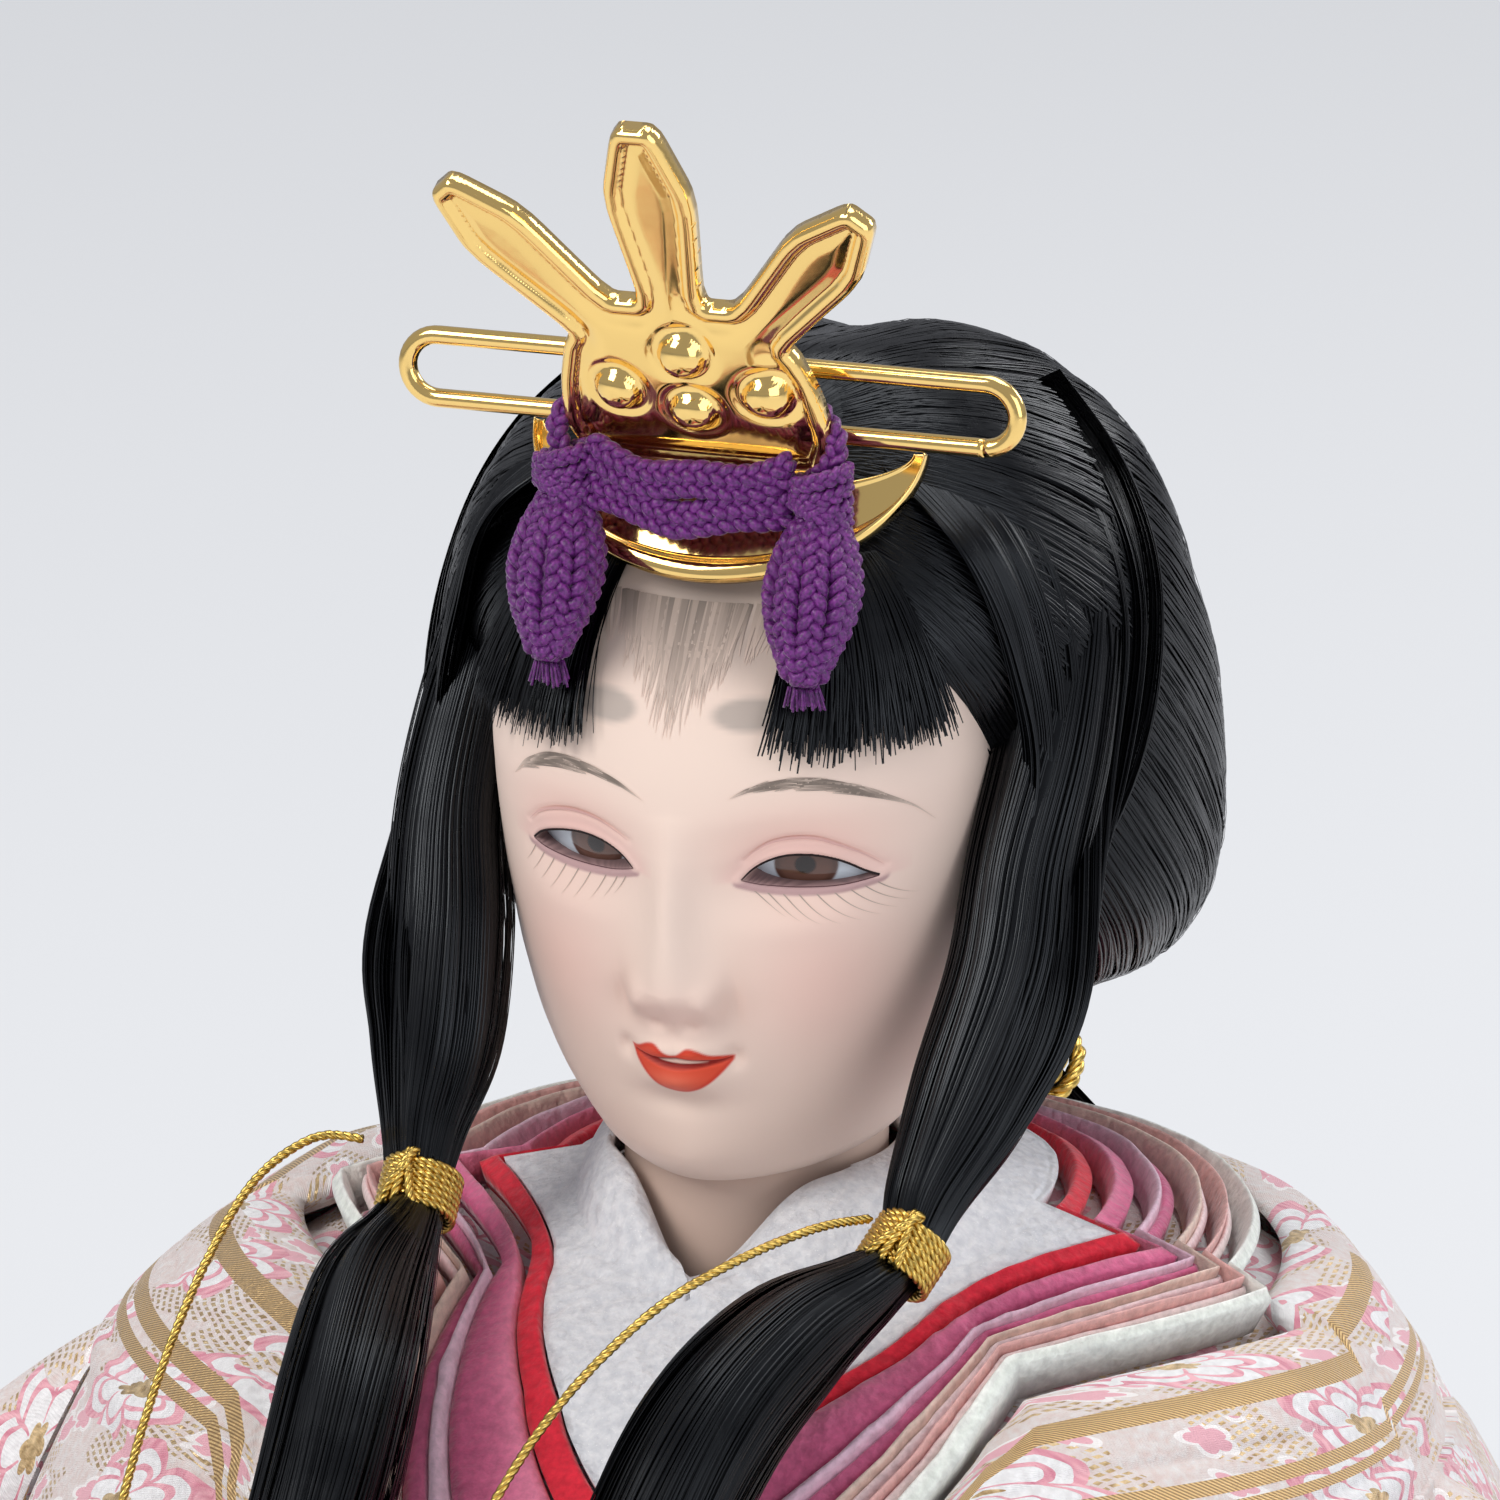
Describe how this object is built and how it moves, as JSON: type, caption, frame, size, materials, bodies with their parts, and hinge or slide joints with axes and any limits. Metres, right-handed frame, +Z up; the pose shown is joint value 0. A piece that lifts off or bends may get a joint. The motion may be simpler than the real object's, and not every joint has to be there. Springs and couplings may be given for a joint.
{
  "type": "hina doll",
  "caption": "Seated court-lady hina doll in layered silk robes with long black hair, gold crest and hairpin, folding fan in her hands and a pleated train behind.",
  "frame": {"origin": "centre of the base board's flat underside, under the neck peg's axis plane", "axes": "+Z up, -Y the way the doll faces, +X towards the doll's own left hand"},
  "size_m": [0.2548, 0.2649, 0.2186],
  "materials": {
    "blush": "plain silk",
    "brocade": "woven brocade, pink flowers and gold weft",
    "cream": "plain silk",
    "eye": "polished",
    "gold": "gold plated, mirror polished",
    "hair": "black silk floss, glossy",
    "paper": "wound strip, matt",
    "pink": "plain silk",
    "purple": "silk braid",
    "red": "plain silk",
    "rose": "plain silk",
    "skin": "matt gypsum under fine shell-white paint",
    "straw": "bound straw, matt",
    "thread": "gilt foil wound on thread",
    "white": "crinkled silk",
    "wood": "plain, sanded"
  },
  "bodies": {
    "torso": {"arm_wire": "paper", "base_board": "wood", "collar_3": "pink", "collar_4": "rose", "collar_5": "rose", "collar_6": "blush", "hakama": "red", "hand_left": "skin", "hand_right": "skin", "hem_2": "rose", "hem_3": "blush", "hem_outer": "brocade", "hitoe_collar": "red", "jacket": "brocade", "kosode_collar": "white", "lining_collar": "cream", "robe_body": "brocade", "sleeve_inner_left": "white", "sleeve_inner_right": "white", "sleeve_lining_2_left": "blush", "sleeve_lining_2_right": "blush", "sleeve_lining_3_left": "rose", "sleeve_lining_3_right": "rose", "sleeve_outer_left": "brocade", "sleeve_outer_right": "brocade", "straw_core": "straw", "train": "white"},
    "neck": {"neck_wrap": "paper"},
    "head": {"neck_peg": "wood", "head_shell": "skin", "eye_left": "eye", "eye_right": "eye", "hair_mass": "hair", "fringe_left": "hair", "fringe_right": "hair", "side_lock_left": "hair", "side_lock_right": "hair", "lock_tie_left": "thread", "lock_tie_right": "thread", "lock_cord_left": "thread", "lock_cord_right": "thread", "back_hair": "hair", "nape_tie": "thread", "crest": "gold", "hairpin": "gold", "comb": "gold", "crest_cord_upper": "purple", "crest_cord_lower": "purple", "tassel_left": "purple", "tassel_right": "purple"},
    "fan": {"fan_blade_4": "wood", "fan_rivet": "gold"},
    "blade_1": {"fan_blade_1": "wood"},
    "blade_2": {"fan_blade_2": "wood"},
    "blade_3": {"fan_blade_3": "wood"},
    "blade_5": {"fan_blade_5": "wood"},
    "blade_6": {"fan_blade_6": "wood"},
    "blade_7": {"fan_blade_7": "wood"}
  },
  "joints": [
    {"name": "head_lift", "type": "slide", "parent": "torso", "child": "neck", "axis": [0, 0, 1], "range_m": [0, 0.07]},
    {"name": "head_turn", "type": "hinge", "parent": "neck", "child": "head", "pos_m": [0, 0, 0.138], "axis": [0, 0, 1], "range_deg": [-6, 6]},
    {"name": "fan_pull", "type": "slide", "parent": "torso", "child": "fan", "axis": [0, 0, 1], "range_m": [0, 0.04]},
    {"name": "fan_fold", "type": "hinge", "parent": "fan", "child": "blade_7", "pos_m": [0, -0.08051, 0.079], "axis": [0, 1, 0], "range_deg": [-33, 0]},
    {"name": "blade_6_fold", "type": "hinge", "parent": "fan", "child": "blade_6", "pos_m": [0, -0.08051, 0.079], "axis": [0, 1, 0], "range_deg": [-22, 0]},
    {"name": "blade_5_fold", "type": "hinge", "parent": "fan", "child": "blade_5", "pos_m": [0, -0.08051, 0.079], "axis": [0, 1, 0], "range_deg": [-11, 0]},
    {"name": "blade_3_fold", "type": "hinge", "parent": "fan", "child": "blade_3", "pos_m": [0, -0.08051, 0.079], "axis": [0, 1, 0], "range_deg": [0, 11]},
    {"name": "blade_2_fold", "type": "hinge", "parent": "fan", "child": "blade_2", "pos_m": [0, -0.08051, 0.079], "axis": [0, 1, 0], "range_deg": [0, 22]},
    {"name": "blade_1_fold", "type": "hinge", "parent": "fan", "child": "blade_1", "pos_m": [0, -0.08051, 0.079], "axis": [0, 1, 0], "range_deg": [0, 33]}
  ],
  "couplings": [
    {"joint": "blade_6_fold", "follows": "fan_fold", "ratio": 0.66667},
    {"joint": "blade_5_fold", "follows": "fan_fold", "ratio": 0.33333},
    {"joint": "blade_3_fold", "follows": "fan_fold", "ratio": -0.33333},
    {"joint": "blade_2_fold", "follows": "fan_fold", "ratio": -0.66667},
    {"joint": "blade_1_fold", "follows": "fan_fold", "ratio": -1}
  ]
}
